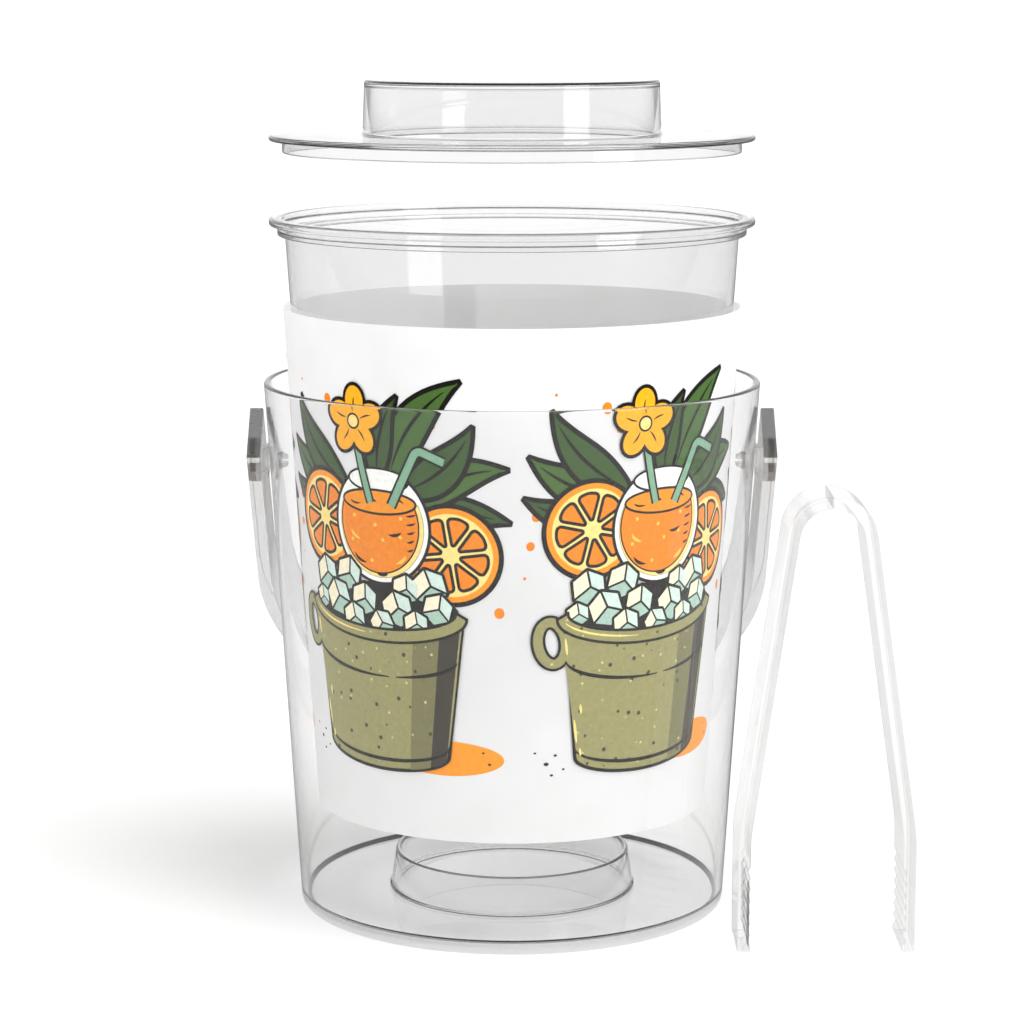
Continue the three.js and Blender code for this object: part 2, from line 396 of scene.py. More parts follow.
def coated_paper():
    """Thin coated white paper: faint mottle, fibres under the coat, and light that comes through it."""
    n = Nodes("coated_paper")
    paper = n.add("ShaderNodeBsdfPrincipled")
    mottle = n.spread(n.noise(60, 4), 0.3, 0.7, 0.0, 1.0)
    ramp = n.add("ShaderNodeMix", data_type="RGBA")
    ramp.inputs[6].default_value = (0.925, 0.925, 0.922, 1)
    ramp.inputs[7].default_value = (0.955, 0.956, 0.956, 1)
    n.link(mottle, ramp.inputs[0])
    n.link(ramp.outputs[2], paper.inputs["Base Color"])
    n.link(n.spread(n.noise(220, 2), 0.3, 0.7, 0.5, 0.62), paper.inputs["Roughness"])
    n.link(n.bump(n.noise(900, 3), 0.12, 0.0002), paper.inputs["Normal"])
    paper.inputs["Coat Weight"].default_value = 0.1
    thin = n.add("ShaderNodeBsdfTranslucent")
    n.link(ramp.outputs[2], thin.inputs["Color"])
    mix = n.add("ShaderNodeMixShader")
    mix.inputs[0].default_value = PAPER_GLOW
    n.link(paper.outputs[0], mix.inputs[1])
    n.link(thin.outputs[0], mix.inputs[2])
    n.link(mix.outputs[0], n.output.inputs["Surface"])
    return n.material


def linear(value):
    """One channel of a screen colour as linear light."""
    return value / 12.92 if value <= 0.04045 else ((value + 0.055) / 1.055) ** 2.4


def ink(name, colour, specks=()):
    """A flat printed colour, with a faint grain, and for the bucket a scatter of fine specks."""
    n = Nodes("ink_" + name)
    base = tuple(linear(int(colour[k:k + 2], 16) / 255) for k in (0, 2, 4))
    paint = n.add("ShaderNodeBsdfPrincipled")
    grain = n.add("ShaderNodeMix", data_type="RGBA")
    grain.inputs[6].default_value = (*(c * 0.9 for c in base), 1)
    grain.inputs[7].default_value = (*(min(1, c * 1.1) for c in base), 1)
    n.link(n.spread(n.noise(700, 4, 0.7), 0.35, 0.65, 0, 1), grain.inputs[0])
    colour_out = grain.outputs[2]
    for scale, limit, shade in specks:
        cells = n.add("ShaderNodeTexVoronoi")
        cells.inputs["Scale"].default_value = scale
        cells.inputs["Randomness"].default_value = 1.0
        coordinates = n.add("ShaderNodeTexCoord")
        n.link(coordinates.outputs["Object"], cells.inputs["Vector"])
        over = n.add("ShaderNodeMix", data_type="RGBA")
        over.inputs[7].default_value = (*shade, 1)
        n.link(n.spread(cells.outputs["Distance"], limit, limit * 0.8, 0, 1), over.inputs[0])
        n.link(colour_out, over.inputs[6])
        colour_out = over.outputs[2]
    n.link(colour_out, paint.inputs["Base Color"])
    paint.inputs["Roughness"].default_value = 0.6
    paint.inputs["Specular IOR Level"].default_value = 0.2
    n.link(paint.outputs[0], n.output.inputs["Surface"])
    return n.material


# Dark and pale specks: cells to the metre, how far a speck reaches in its cell, and its colour.
SPECKS = ((190, 0.16, (0.05, 0.045, 0.03)), (240, 0.13, (0.62, 0.55, 0.25)))
INKS = {
    "ink": ink("dark", "120D08"),
    "olive": ink("olive", "969260", SPECKS),
    "olive_shade": ink("olive_shade", "77744C", SPECKS),
    "olive_dark": ink("olive_dark", "3A342A"),
    "leaf": ink("leaf", "44652A"),
    "leaf_dark": ink("leaf_dark", "375422"),
    "orange": ink("orange", "EE8400"),
    "orange_light": ink("orange_light", "F0920C"),
    "orange_peel": ink("orange_peel", "F69408"),
    "orange_shadow": ink("orange_shadow", "F69610"),
    "amber": ink("amber", "FBAC10"),
    "yellow": ink("yellow", "F8C24C"),
    "cream": ink("cream", "FBDC84"),
    "glass_white": ink("glass_white", "F3F4EE"),
    "ice_light": ink("ice_light", "CFE3D8"),
    "ice_cream": ink("ice_cream", "F4EBCB"),
    "ice_mint": ink("ice_mint", "A6C4B4"),
    "mint": ink("mint", "7DA98B"),
}

CLEAR = clear_acrylic("clear_acrylic", 0.87)
CLEAR_SHELL = clear_acrylic("clear_acrylic_shell", 0.93, foot=FOOT_BAND)
CLEAR_STRIP = clear_acrylic("clear_acrylic_strip", 0.78, (0.02, 0.08), plain=0.35)
CLEAR_TONGS = clear_acrylic("clear_acrylic_tongs", 0.88, (0.02, 0.06), plain=0.55, straight=0.95)
# Dark plastics for thin rounded edges: the dark edge lines they draw are painted shade.
PAINTED_DARK_LINE = clear_acrylic("painted_dark_line_acrylic", 0.1, (0.1, 0.2))
FOOT_PAINTED_DARK_LINE = clear_acrylic("foot_painted_dark_line_acrylic", 0.002, (0.1, 0.2))
BONDED = clear_acrylic("bonded_acrylic", 0.5, (0.35, 0.5), cloud=0.7)
# Saw-cut ends: rough as a saw leaves them, and dark with painted shade.
SAWN_AND_SHADED = clear_acrylic("sawn_shaded_acrylic", 0.16, (0.25, 0.4))
PAPER = coated_paper()


def finish_piece(piece, body, node, material):
    piece.data.materials.clear()
    piece.data.materials.append(material)
    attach(piece, body)
    if node:
        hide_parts(*([node] if isinstance(node, str) else node))


# ---------------------------------------------------------------- shell and ring

def shell_radius(z):
    return SHELL_FOOT_R + (SHELL_TOP_R - SHELL_FOOT_R) * z / SHELL_H


def make_shell():
    wall_foot = shell_radius(SHELL_FLOOR) - SHELL_WALL
    profile = rounded([
        (0, 0, 0),
        (SHELL_FOOT_R, 0, 1.2),
        (SHELL_TOP_R, SHELL_H, 0.9),
        (SHELL_TOP_R - SHELL_WALL, SHELL_H, 0.9),
        (wall_foot, SHELL_FLOOR, SHELL_FILLET),
        (0, SHELL_FLOOR, 0),
    ])
    piece = new_object("clear_shell", turned(profile))
    cut(piece, side_rod("pin_hole", PIN_HOLE_R, -2 * SHELL_TOP_R, 2 * SHELL_TOP_R, PIVOT_Z))
    weigh_normals(piece)
    finish_piece(piece, "shell", "outer_shell", CLEAR_SHELL)
    # The black line round the inner corner of the shell's floor is painted shade.
    edge_lines(piece, [(wall_foot, SHELL_FLOOR)], SHELL_FILLET - 0.05, FOOT_PAINTED_DARK_LINE)


def make_ring():
    profile = raised(rounded([
        (RING_HOLE_FOOT_R, 0, 0.3),
        (RING_FOOT_R, 0, 0.3),
        (RING_FOOT_R, 0.9, 0.3),
        (RING_FOOT_R - 0.7, 1.9, 0.6),
        (RING_TOP_R, RING_H, 0.8),
        (RING_HOLE_TOP_R, RING_H, 0.8),
    ], closed=True), RING_Z)
    piece = new_object("clear_rest_ring", turned(profile))
    weigh_normals(piece)
    finish_piece(piece, "shell", "liner_rest_ring", CLEAR)
    edge_lines(piece, [(RING_FOOT_R, RING_Z), (RING_TOP_R - 0.2, RING_Z + RING_H)], 0.5, PAINTED_DARK_LINE)


# ---------------------------------------------------------------- liner and lid

def make_liner():
    inner = LINER_NECK_R - LINER_WALL
    neck_z, mouth_z = LINER_H - NECK_DEPTH, LINER_H - MOUTH_DEPTH
    flange_z = LINER_H - FLANGE_T
    profile = raised(rounded([
        (0, 0, 0),
        (LINER_FOOT_R, 0, 5),
        (LINER_NECK_R, neck_z, 0.3),
        (NECK_R, neck_z, 0.6),
        (NECK_R, flange_z, 0.4),
        (LINER_FLANGE_R, flange_z, 0.9),
        (LINER_FLANGE_R, LINER_H, 1.0),
        (MOUTH_R, LINER_H, 0.8),
        (MOUTH_R, mouth_z, 0.4),
        (inner, mouth_z, 0.5),
        (LINER_FOOT_R - LINER_WALL, LINER_WALL, 3),
        (0, LINER_WALL, 0),
    ]), LINER_Z)
    piece = new_object("clear_liner", turned(profile))
    weigh_normals(piece)
    finish_piece(piece, "liner", "liner", CLEAR)
    edge_lines(piece, [(LINER_NECK_R, LINER_Z + neck_z)], 0.35, PAINTED_DARK_LINE)


def make_lid():
    profile = raised(rounded([
        (0, KNOB_TOP - LID_T, 0),
        (KNOB_TOP_R - LID_T, KNOB_TOP - LID_T, 0.8),
        (KNOB_FOOT_R - LID_T, 0, 0.8),
        (SKIRT_R - SKIRT_T, 0, 0.5),
        (SKIRT_R - SKIRT_T, -SKIRT_DEPTH, 0.5),
        (SKIRT_R, -SKIRT_DEPTH, 0.5),
        (SKIRT_R, 0, 0.4),
        (LID_R, 0, 0.8),
        (LID_R, LID_T, 0.8),
        (KNOB_FOOT_R, LID_T, 0.8),
        (KNOB_TOP_R, KNOB_TOP, 1.0),
        (0, KNOB_TOP, 0),
    ]), LID_Z)
    piece = new_object("clear_lid", turned(profile))
    weigh_normals(piece)
    finish_piece(piece, "lid", "lid", CLEAR)
    edge_lines(piece, [(KNOB_TOP_R, LID_Z + KNOB_TOP)], 0.65, PAINTED_DARK_LINE)


# ---------------------------------------------------------------- sleeve

def sleeve_radius(z):
    return SLEEVE_FOOT_R + (SLEEVE_TOP_R - SLEEVE_FOOT_R) * (z - SLEEVE_Z) / SLEEVE_H


def make_sleeve():
    """One sheet of paper rolled to a cone, with its end lapped over its start at the back."""
    seam, lap, steps = math.radians(SEAM_TURN), math.radians(LAP_TURN), 240
    bm = bmesh.new()
    rows = []
    for i in range(steps + 1):
        travelled = (2 * math.pi + lap) * i / steps
        angle = seam + travelled
        under = min(1.0, max(0.0, (2 * lap - travelled) / lap))
        drop = (PAPER_T + PAPER_GAP) * (3 * under ** 2 - 2 * under ** 3)
        row = []
        for z, depth in ((SLEEVE_Z, 0), (SLEEVE_Z + SLEEVE_H, 0),
                         (SLEEVE_Z + SLEEVE_H, PAPER_T), (SLEEVE_Z, PAPER_T)):
            r = sleeve_radius(z) - depth - drop
            row.append(bm.verts.new((r * math.cos(angle), r * math.sin(angle), z)))
        rows.append(row)
    for a, b in zip(rows, rows[1:]):
        for k in range(4):
            bm.faces.new((a[k], b[k], b[(k + 1) % 4], a[(k + 1) % 4]))
    bm.faces.new(rows[0])
    bm.faces.new(rows[-1])
    piece = new_object("paper_sleeve", bm)
    finish_piece(piece, "sleeve", "printed_sleeve", PAPER)


# ---------------------------------------------------------------- print

PRINT_Z = SLEEVE_Z + 23         # the ground line of the drawing
PRINT_TURNS = (-114, -38, 38, 114)
PRINT_HALF = 54                 # half of the drawing's width
FACET = 1.5                     # width of the strips that follow the paper's curve
INK_LIFT = 0.03                 # clearance of the lowest ink
INK_LEVEL = 0.012
INK_T = 0.008
LINE = 1.25                     # half of the drawn outline's width

drawing = {}


def fill(points, colour, level):
    drawing.setdefault(colour, []).append((points, level))


def grown(points, by):
    """A closed outline moved outward, whichever way round it runs."""
    count = len(points)
    area = sum(points[i].x * points[(i + 1) % count].y - points[(i + 1) % count].x * points[i].y
               for i in range(count))
    side = 1 if area > 0 else -1
    out = []
    for i, here in enumerate(points):
        before = (here - points[i - 1]).normalized()
        after = (points[(i + 1) % count] - here).normalized()
        n1, n2 = Vector((before.y, -before.x)) * side, Vector((after.y, -after.x)) * side
        middle = n1 + n2
        if middle.length < 0.2:
            middle = n1
        middle.normalize()
        out.append(here + middle * by / max(middle.dot(n1), 0.55))
    return out


def inked(points, colour, level, line=LINE):
    """A filled shape with a dark outline under it."""
    fill(grown(points, line), "ink", level)
    fill(grown(points, -line * 0.35), colour, level + 1)


def ellipse(x, y, rx, ry=None, start=0, end=360, steps=44, lean=0):
    ry = rx if ry is None else ry
    whole = abs(end - start) >= 360
    turn = Matrix.Rotation(math.radians(lean), 2)
    angles = [math.radians(start + (end - start) * i / steps) for i in range(steps if whole else steps + 1)]
    return [Vector((x, y)) + turn @ Vector((rx * math.cos(a), ry * math.sin(a))) for a in angles]


def curve(a, b, bow, steps=12):
    """A line from a to b that bows sideways."""
    a, b = Vector(a), Vector(b)
    side = Vector((a.y - b.y, b.x - a.x)).normalized()
    return [a.lerp(b, i / steps) + side * bow * 4 * (i / steps) * (1 - i / steps) for i in range(steps + 1)]


def stroke(path, width, taper=0.0):
    """A drawn line round an open path, thinner towards its ends when it tapers."""
    left, right = [], []
    last = len(path) - 1
    for i, here in enumerate(path):
        ahead = path[min(i + 1, last)] - path[max(i - 1, 0)]
        side = Vector((-ahead.y, ahead.x)).normalized()
        share = i / last
        half = width / 2 * (1 - taper * (2 * share - 1) ** 2)
        left.append(here + side * half)
        right.append(here - side * half)
    return left + right[::-1]


def leaf(base, tip, width, bow, level, colour="leaf"):
    spine = curve(base, tip, bow, 16)
    left, right = [], []
    for i, here in enumerate(spine):
        ahead = spine[min(i + 1, 16)] - spine[max(i - 1, 0)]
        side = Vector((-ahead.y, ahead.x)).normalized()
        half = width / 2 * math.sin(math.pi * (i / 16) ** 0.8) + 0.05
        left.append(here + side * half)
        right.append(here - side * half)
    inked(left + right[::-1], colour, level)
    fill(stroke(spine[2:15], 1.3, 0.8), "ink", level + 2)


def citrus(x, y, radius, level, lean=0):
    inked(ellipse(x, y, radius), "orange_peel", level)
    fill(ellipse(x, y, radius * 0.86), "cream", level + 2)
    for k in range(8):
        middle = math.radians(45 * k + lean)
        ray = Vector((math.cos(middle), math.sin(middle)))
        side = Vector((-ray.y, ray.x))
        centre = Vector((x, y))
        wedge = rounded([
            (*(centre + ray * radius * 0.17), radius * 0.03),
            (*(centre + ray * radius * 0.72 - side * radius * 0.235), radius * 0.08),
            (*(centre + ray * radius * 0.78), radius * 0.3),
            (*(centre + ray * radius * 0.72 + side * radius * 0.235), radius * 0.08),
        ], closed=True, steps=3)
        fill(grown(wedge, 0.65), "ink", level + 3)
        fill(grown(wedge, -0.45), "orange", level + 4)


def ice_cube(x, y, size, lean, level):
    """A cube seen from a corner: a light top and two cooler sides."""
    corner = [Vector((x, y)) + Matrix.Rotation(math.radians(60 * k + 30 + lean), 2) @ Vector((size, 0))
              for k in range(6)]
    middle = Vector((x, y)) + Matrix.Rotation(math.radians(lean), 2) @ Vector((0.1 * size, 0.05 * size))
    hexagon = rounded([(*p, size * 0.12) for p in corner], closed=True, steps=2)
    fill(grown(hexagon, 0.65), "ink", level)
    for faces, colour in (((5, 0, 1), "ice_light"), ((1, 2, 3), "ice_cream"), ((3, 4, 5), "ice_mint")):
        a, b, c = (corner[k] for k in faces)
        face = [middle, a, b, c]
        heart = (a + b + c + middle) / 4
        fill([heart + (p - heart) * 0.86 for p in face], colour, level + 1)


def blossom(x, y, radius, level):
    for k in range(5):
        angle = 72 * k + 18
        ray = Vector((math.cos(math.radians(angle)), math.sin(math.radians(angle))))
        heart = Vector((x, y)) + ray * radius * 0.58
        petal = ellipse(heart.x, heart.y, radius * 0.46, radius * 0.36, lean=angle, steps=22)
        fill(grown(petal, LINE), "ink", level)
        fill(petal, "amber", level + 1 + k % 2 * 0.25)
        vein = curve(Vector((x, y)) + ray * radius * 0.3, heart + ray * radius * 0.12, 0.3, 4)
        fill(stroke(vein, 0.6, 0.7), "ink", level + 2)
    inked(ellipse(x, y, radius * 0.2, steps=20), "cream", level + 3, 0.5)


def draw_bucket(level):
    top, foot = 55.0, 7.0
    drop, foot_drop = 9.0, 6.5
    top_r, foot_r = 33.0, 26.0

    def side(share, turn):
        """A point on the front of the body: share 0 is the foot, 1 the rim, and turn runs from -1 to 1."""
        x = math.sin(math.pi / 2 * turn)
        r = foot_r + (top_r - foot_r) * share
        dip = foot_drop + (drop - foot_drop) * share
        return Vector((r * x, foot + (top - foot) * share - dip * math.sqrt(max(0.0, 1 - x * x))))

    def along(share, turn_from, turn_to, steps):
        return [side(share, turn_from + (turn_to - turn_from) * i / steps) for i in range(steps + 1)]

    def upright(turn, low, high, steps):
        return [side(low + (high - low) * i / steps, turn) for i in range(steps + 1)]

    def patch(turn_from, turn_to):
        return along(0.0, turn_from, turn_to, 24) + along(1.0, turn_from, turn_to, 24)[::-1]

    loop = ellipse(-36.0, 47.5, 4.6, 7.4, steps=32, lean=12)
    fill(stroke(loop + loop[:1], 5.0), "ink", level)
    fill(stroke(loop + loop[:1], 3.2), "olive", level + 1)
    inked(patch(-1, 1), "olive", level + 2, 0.9)
    fill(patch(0.3, 0.54), "olive_shade", level + 4)
    fill(patch(0.54, 0.86), "olive_dark", level + 4)
    fill(stroke(upright(0.9, 0.1, 0.9, 8), 0.8, 0.6), "olive", level + 4)
    for share, turn_from, turn_to in ((0.72, -0.97, 0.1), (0.72, 0.16, 0.9), (0.07, -0.97, 0.97)):
        fill(stroke(along(share, turn_from, turn_to, 16), 1.3, 0.7), "ink", level + 5)
    glints = ((-0.82, 0.15, 0.32), (-0.66, 0.4, 0.47), (-0.74, 0.06, 0.12), (-0.84, 0.8, 0.92))
    for turn, low, high in glints:
        fill(stroke(upright(turn, low, high, 4), 0.9, 0.6), "cream", level + 5)


def draw_rim(level):
    """The front half of the bucket's rolled rim, over the ice."""
    outer = ellipse(0, 55.5, 34.2, 9.8, 180, 360, 40)
    inner = ellipse(0, 57.2, 31.2, 7.6, 360, 180, 40)
    band = outer + inner
    fill(grown(band, 0.8), "ink", level)
    fill(grown(band, -0.15), "olive", level + 1)
    fill(stroke(ellipse(0, 56.6, 32.8, 8.7, 195, 262, 18), 0.7, 0.7), "cream", level + 2)


def draw_drink(level):
    x, y, rx, ry = 3.5, 86.0, 19.3, 20.0
    rim_y = 101.5
    reach = math.degrees(math.asin((rim_y - y) / ry))
    rim_r = rx * math.cos(math.radians(reach))
    bowl = ellipse(x, y, rx, ry, 180 - reach, 360 + reach, 48)
    inked(bowl, "glass_white", level, 0.85)
    inked(ellipse(x, rim_y, rim_r, 3.9), "glass_white", level + 2, 0.6)
    surface_y = 94.0
    dip = math.degrees(math.asin((surface_y - y) / (ry - 2)))
    wide = (rx - 1.9) * math.cos(math.radians(dip))
    inked(ellipse(x, y, rx - 1.9, ry - 1.9, 180 - dip, 360 + dip, 44), "cream", level + 4, 0.1)
    inked(ellipse(x - 0.6, y + 0.3, rx - 3.2, ry - 3.2, 180 - dip, 360 + dip, 44), "orange", level + 6, 0.4)
    inked(ellipse(x - 0.3, surface_y, wide - 0.6, 3.9), "orange_light", level + 8, 0.6)
    ripples = ((-5.5, 94.4, 3.2, 200, 300), (10.5, 93.6, 3.6, 20, 110), (0.5, 93.2, 3.0, 30, 110))
    for cx, cy, r, start, end in ripples:
        fill(stroke(ellipse(cx, cy, r, r * 0.5, start, end, 10), 0.7, 0.8), "ink", level + 10)
    swirls = (
        (-4.0, 84.5, 5.0, 195, 262, "yellow"), (8.5, 77.5, 5.5, 285, 345, "yellow"),
        (9.0, 86.5, 4.5, 250, 320, "ink"), (-2.5, 77.0, 5.5, 200, 270, "ink"),
        (4.0, 72.8, 5.0, 245, 300, "ink"),
    )
    for cx, cy, r, start, end, colour in swirls:
        fill(stroke(ellipse(cx, cy, r, r * 0.8, start, end, 12), 1.1, 0.85), colour, level + 8)
    bubbles = (
        (-7.0, 88.5), (2.0, 86.0), (12.5, 89.0), (-8.5, 80.0), (5.0, 81.0), (12.0, 82.5), (0.0, 73.5),
    )
    for cx, cy in bubbles:
        fill(ellipse(cx, cy, 0.65, steps=12), "yellow", level + 8)
    for k in range(5):
        hatch = curve((14.5, 90.0 - 3 * k), (18.4 - 0.4 * k, 90.8 - 3 * k), -0.3, 4)
        fill(stroke(hatch, 0.8, 0.8), "ink", level + 8)


def draw_straw(path, width, level):
    fill(stroke(path, width + 1.5), "ink", level)
    fill(stroke(path, width), "mint", level + 1)


def draw_motif():
    """The whole drawing, from the ground up. It is in millimetres on the flat paper, with x from the middle
    of the bucket and y from the ground line, and it is laid in levels of ink."""
    fill(ellipse(24, 6.5, 21, 6.2), "orange_shadow", 0)
    drops = (
        (-20, 127, 1.8), (-15, 120, 1.5), (-43, 91, 1.5), (-44.5, 81, 1.4), (45.5, 58, 1.7),
        (-38, 132, 0.5), (41, 72, 0.5), (-46, 70, 0.5), (26, 121, 0.5),
    )
    for x, y, r in drops:
        fill(ellipse(x, y, r, r * 1.1, steps=20), "orange", 0)
    crumbs = (
        (-33, 8, 0.6), (-36, 5, 0.9), (-30, 3, 0.5), (-34, 1, 0.6), (-40, 9, 0.5),
        (38, 9, 0.5), (40, 5, 0.6),
    )
    for x, y, r in crumbs:
        fill(ellipse(x, y, r, r * 0.7, steps=14), "ink", 1)
    leaf((-12, 92), (-47, 97), 11, 4, 1, "leaf_dark")
    leaf((12, 86), (50, 89), 12, 4, 1, "leaf_dark")
    leaf((-12, 96), (-46, 111), 12, 3, 4)
    leaf((-10, 99), (-39, 126), 12, 4, 7, "leaf_dark")
    leaf((14, 92), (50, 107), 13, 4, 4)
    leaf((12, 98), (39, 121), 13, -4, 7, "leaf_dark")
    leaf((8, 100), (35, 136), 13, 5, 10)
    leaf((4, 100), (12, 130), 10, 3, 13, "leaf_dark")
    citrus(-23.5, 86, 16.4, 16, 10)
    citrus(30, 77.5, 16.6, 16, 30)
    draw_drink(21)
    draw_straw(curve((0.5, 93.5), (-5, 117), 0.4), 2.2, 32)
    draw_straw(rounded([(9, 93, 0), (19.5, 113, 2.5), (29, 109, 0)], steps=6), 2.6, 32)
    blossom(-5.5, 121, 11.5, 34)
    fill(ellipse(0, 57.2, 32, 8.8), "ink", 21)
    rows = (
        (33, (-24, 66, 6.6, 8), (-11.5, 67.5, 6.4, -12), (22, 66, 6.8, 14), (13, 64.5, 5.6, -6)),
        (35, (-17.5, 58.5, 6.8, 20), (-4.5, 59.5, 6.2, -8), (9.5, 57.5, 6.6, 12), (24.5, 58.5, 5.8, -16),
         (-27.5, 57.0, 4.4, 5)),
        (37, (-9.5, 52.5, 5.6, 6), (3.0, 51.8, 5.2, 26), (16.5, 52.8, 5.0, 2)),
    )
    for level, *cubes in rows:
        for cube in cubes:
            ice_cube(*cube, level)
    draw_bucket(39)
    draw_rim(45)


def wrapped(point, turn):
    """A point of the flat drawing, with its height over the paper, on the cone of the sleeve."""
    x, y, lift = point
    z = PRINT_Z + y
    r = sleeve_radius(z) + lift
    angle = math.radians(turn - 90) + x / sleeve_radius(z)
    return Vector((r * math.cos(angle), r * math.sin(angle), z))


def make_print():
    draw_motif()
    for colour, shapes in drawing.items():
        flat = bmesh.new()
        for points, level in shapes:
            lift = INK_LIFT + INK_LEVEL * level
            flat.faces.new([flat.verts.new((p.x, p.y, lift)) for p in points])
        bmesh.ops.triangulate(flat, faces=flat.faces)
        last = round(PRINT_HALF / FACET)
        for i in range(-last, last + 1):
            geometry = flat.verts[:] + flat.edges[:] + flat.faces[:]
            bmesh.ops.bisect_plane(flat, geom=geometry, dist=1e-4,
                                   plane_co=(FACET * i, 0, 0), plane_no=(1, 0, 0))
        bmesh.ops.triangulate(flat, faces=flat.faces)
        bmesh.ops.solidify(flat, geom=flat.faces[:], thickness=INK_T)
        bm = bmesh.new()
        for turn in PRINT_TURNS:
            verts = [bm.verts.new(wrapped(v.co, turn)) for v in flat.verts]
            for face in flat.faces:
                bm.faces.new([verts[v.index] for v in face.verts])
        flat.free()
        piece = new_object("print_" + colour, bm)
        finish_piece(piece, "sleeve", None, INKS[colour])


# ---------------------------------------------------------------- bail and pins

def swept(path, width, thick, edge):
    """A strip along a path of (point, outward) pairs in a plane of X and Z, with its width along Y."""
    section = rounded([
        (-thick / 2, -width / 2, edge), (thick / 2, -width / 2, edge),
        (thick / 2, width / 2, edge), (-thick / 2, width / 2, edge),
    ], closed=True, steps=3)
    bm = bmesh.new()
    rings = [[bm.verts.new((p.x + n.x * a, b, p.y + n.y * a)) for a, b in section] for p, n in path]
    for low, high in zip(rings, rings[1:]):
        for i in range(len(section)):
            j = (i + 1) % len(section)
            bm.faces.new((low[i], low[j], high[j], high[i]))
    bm.faces.new(rings[0])
    bm.faces.new(rings[-1])
    return bm


def bond(piece):
    """The pin's boss and its bore in the bail are joined by a cloudy bond. The strip's ends are sawn, and
    their plastic is darkened as painted shade.
    """
    piece.data.materials.append(BONDED)
    piece.data.materials.append(SAWN_AND_SHADED)
    along = Matrix.Rotation(BAIL_HANG, 3, "X") @ Vector((0, 0, 1))
    for face in piece.data.polygons:
        if (face.center - Vector((0, 0, PIVOT_Z * MM))).dot(along) > (BAIL_END - 0.1) * MM:
            face.material_index = 2
        x, y, z = face.center
        off_axis = math.hypot(y, z - PIVOT_Z * MM)
        in_strip = (BAIL_R - BAIL_T) * MM < abs(x) < (BAIL_R - 0.3) * MM
        if in_strip and off_axis < (BOSS_R + 0.2) * MM:
            face.material_index = 1


def bevel_ends(piece, width, segments=3, angle=50):
    modifier = piece.modifiers.new("edges", "BEVEL")
    modifier.width = width * MM
    modifier.segments = segments
    modifier.limit_method = "ANGLE"
    modifier.angle_limit = math.radians(angle)
    modifier.miter_outer = "MITER_ARC"
    apply_modifiers(piece)


def make_bail():
    middle = BAIL_R - BAIL_T / 2
    path = [(Vector((middle, z)), Vector((1, 0))) for z in (BAIL_END, BAIL_END - 1, 0, -BAIL_ARM / 2)]
    steps = 96
    for i in range(steps + 1):
        angle = -math.pi * i / steps
        out = Vector((math.cos(angle), math.sin(angle)))
        path.append((out * middle + Vector((0, -BAIL_ARM)), out))
    path += [(Vector((-p.x, p.y)), Vector((-1, 0))) for p, _ in reversed(path[:4])]
    bm = swept(path, BAIL_W, BAIL_T, 0.45)
    bmesh.ops.transform(bm, verts=bm.verts,
                        matrix=Matrix.Translation((0, 0, PIVOT_Z)) @ Matrix.Rotation(BAIL_HANG, 4, "X"))
    piece = new_object("clear_bail", bm)
    bevel_ends(piece, 0.3)
    cut(piece, side_rod("bore", BOSS_R + BORE_GAP, -2 * BAIL_R, 2 * BAIL_R, PIVOT_Z))
    weigh_normals(piece)
    finish_piece(piece, "bail", "bail_handle", CLEAR_STRIP)
    bond(piece)


def make_pin(side, node):
    collar_x = shell_radius(PIVOT_Z) + 0.6
    collar_end = collar_x + 0.6
    boss_end = BAIL_R - 0.15
    barb_x = shell_radius(PIVOT_Z) - SHELL_WALL - 0.5
    profile = rounded([
        (0, PIN_TIP_X, 0), (2.1, PIN_TIP_X, 0.3), (BARB_R, barb_x - 0.4, 0.2), (BARB_R, barb_x, 0.15),
        (SHAFT_R, barb_x, 0.1), (SHAFT_R, collar_x, 0.2), (COLLAR_R, collar_x, 0.2),
        (COLLAR_R, collar_end, 0.25), (BOSS_R, collar_end, 0.25), (BOSS_R, boss_end, 0.4),
        (0, boss_end, 0),
    ], steps=3)
    bm = turned(profile, 64)
    turn = Matrix.Translation((0, 0, PIVOT_Z)) @ Matrix.Rotation(side * math.pi / 2, 4, "Y")
    bmesh.ops.transform(bm, verts=bm.verts, matrix=turn)
    piece = new_object(node.replace("pivot", "clear_pivot"), bm)
    slot_end = collar_x - 0.8
    slot_start = PIN_TIP_X - 2
    place = Matrix.Translation((side * (slot_end + slot_start) / 2, 0, PIVOT_Z))
    slot = bmesh.new()
    bmesh.ops.create_cube(slot, size=1,
                          matrix=place @ Matrix.Diagonal((slot_end - slot_start, 14, SLOT_W, 1)))
    cut(piece, new_object("slot", slot))
    weigh_normals(piece)
    finish_piece(piece, "bail", node, CLEAR_STRIP)
    bond(piece)


# ---------------------------------------------------------------- tongs

